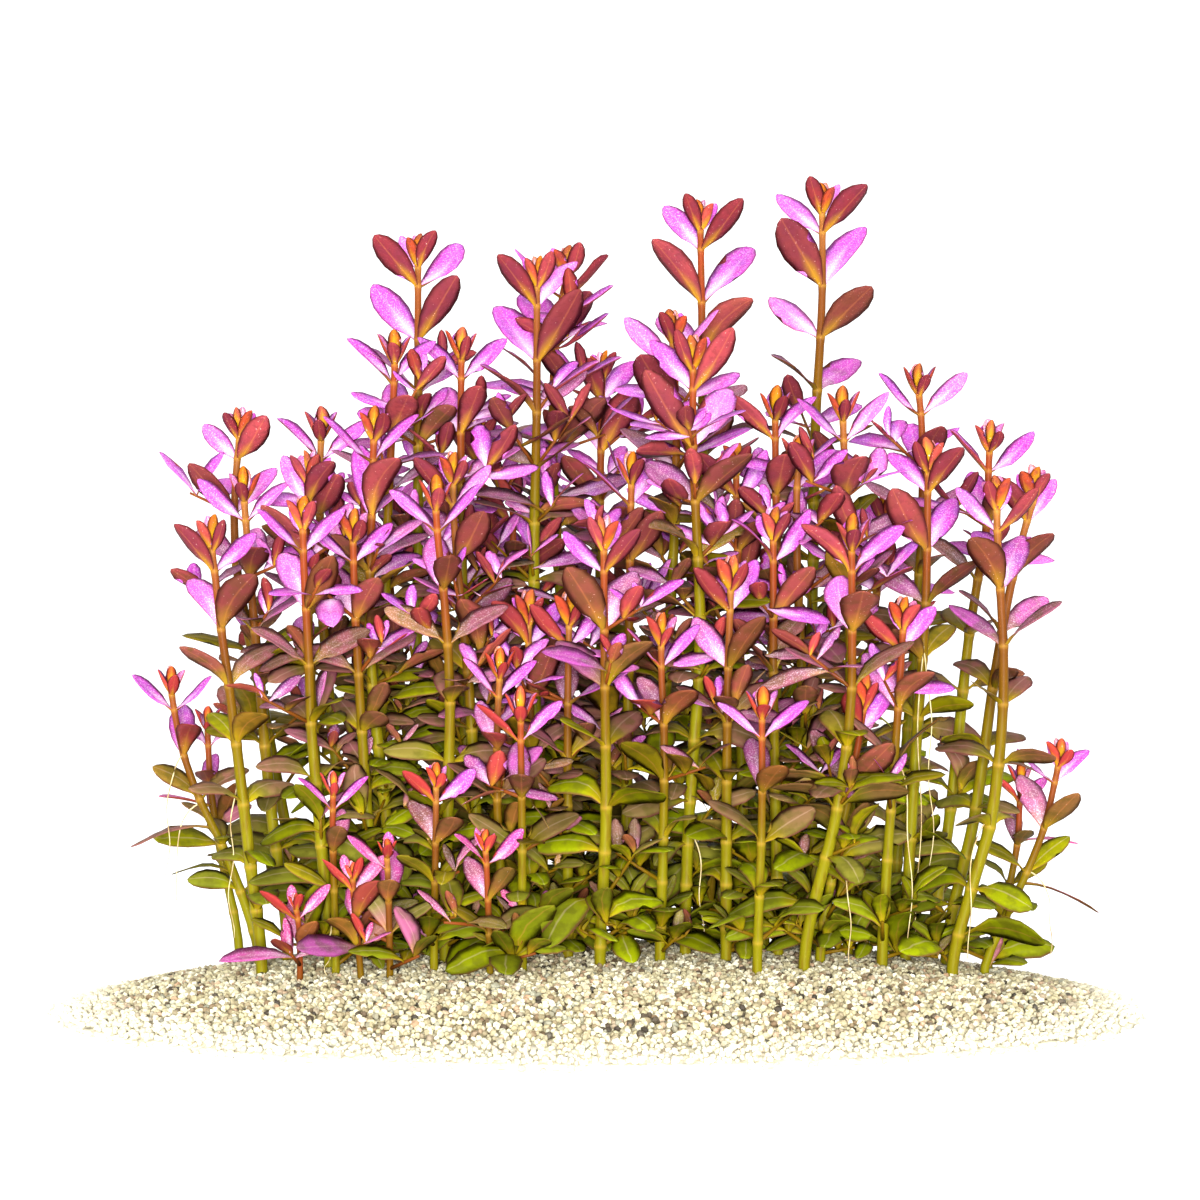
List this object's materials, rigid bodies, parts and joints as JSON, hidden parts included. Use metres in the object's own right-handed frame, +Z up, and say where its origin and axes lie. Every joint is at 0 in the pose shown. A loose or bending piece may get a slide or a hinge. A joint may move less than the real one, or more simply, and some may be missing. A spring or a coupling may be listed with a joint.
{
  "type": "aquarium plant",
  "caption": "Upright stand of rooted rotala stems with crossed pairs of oval leaves, in a low oval bed of pale sand.",
  "frame": {"origin": "centre of the sand bed's flat underside", "axes": "+Z up along the stems, +X along the bed's long axis to the right in the front view, +Y away from the viewer"},
  "size_m": [0.262, 0.14, 0.2105],
  "materials": {
    "sand": "matte",
    "leaves": "satin",
    "stems": "satin"
  },
  "bodies": {
    "root": {"sand_bed": "sand", "stem_tall_1": "leaves", "stem_tall_2": "leaves", "stem_tall_3": "leaves", "stem_tall_4": "leaves", "stem_tall_5": "leaves", "stem_tall_6": "leaves", "stem_tall_7": "leaves", "stem_front_1": "leaves", "stem_front_2": "leaves", "stem_front_3": "leaves", "stem_front_4": "leaves", "stem_front_5": "leaves", "stem_front_6": "leaves", "stem_front_7": "leaves", "stem_front_8": "leaves", "stem_front_9": "leaves", "stem_front_10": "leaves", "stem_front_11": "leaves", "stem_front_12": "leaves", "stem_front_13": "leaves", "stem_front_14": "leaves", "stem_left_1": "leaves", "stem_left_2": "leaves", "stem_left_3": "leaves", "stem_left_4": "leaves", "stem_left_5": "leaves", "stem_left_6": "leaves", "stem_left_7": "leaves", "stem_left_8": "leaves", "stem_left_9": "leaves", "stem_right_1": "leaves", "stem_right_2": "leaves", "stem_right_3": "leaves", "stem_right_4": "leaves", "stem_right_5": "leaves", "stem_right_6": "leaves", "stem_right_7": "leaves", "stem_right_8": "leaves", "stem_right_9": "leaves", "stem_right_10": "leaves", "stem_right_11": "leaves", "stem_right_12": "leaves", "stem_middle_1": "leaves", "stem_middle_2": "leaves", "stem_middle_3": "leaves", "stem_middle_4": "leaves", "stem_middle_5": "leaves", "stem_middle_6": "leaves", "stem_middle_7": "leaves", "stem_middle_8": "leaves", "stem_middle_9": "leaves", "stem_back_1": "leaves", "stem_back_2": "leaves", "stem_back_3": "leaves", "stem_back_4": "leaves", "stem_back_5": "leaves"}
  },
  "joints": []
}
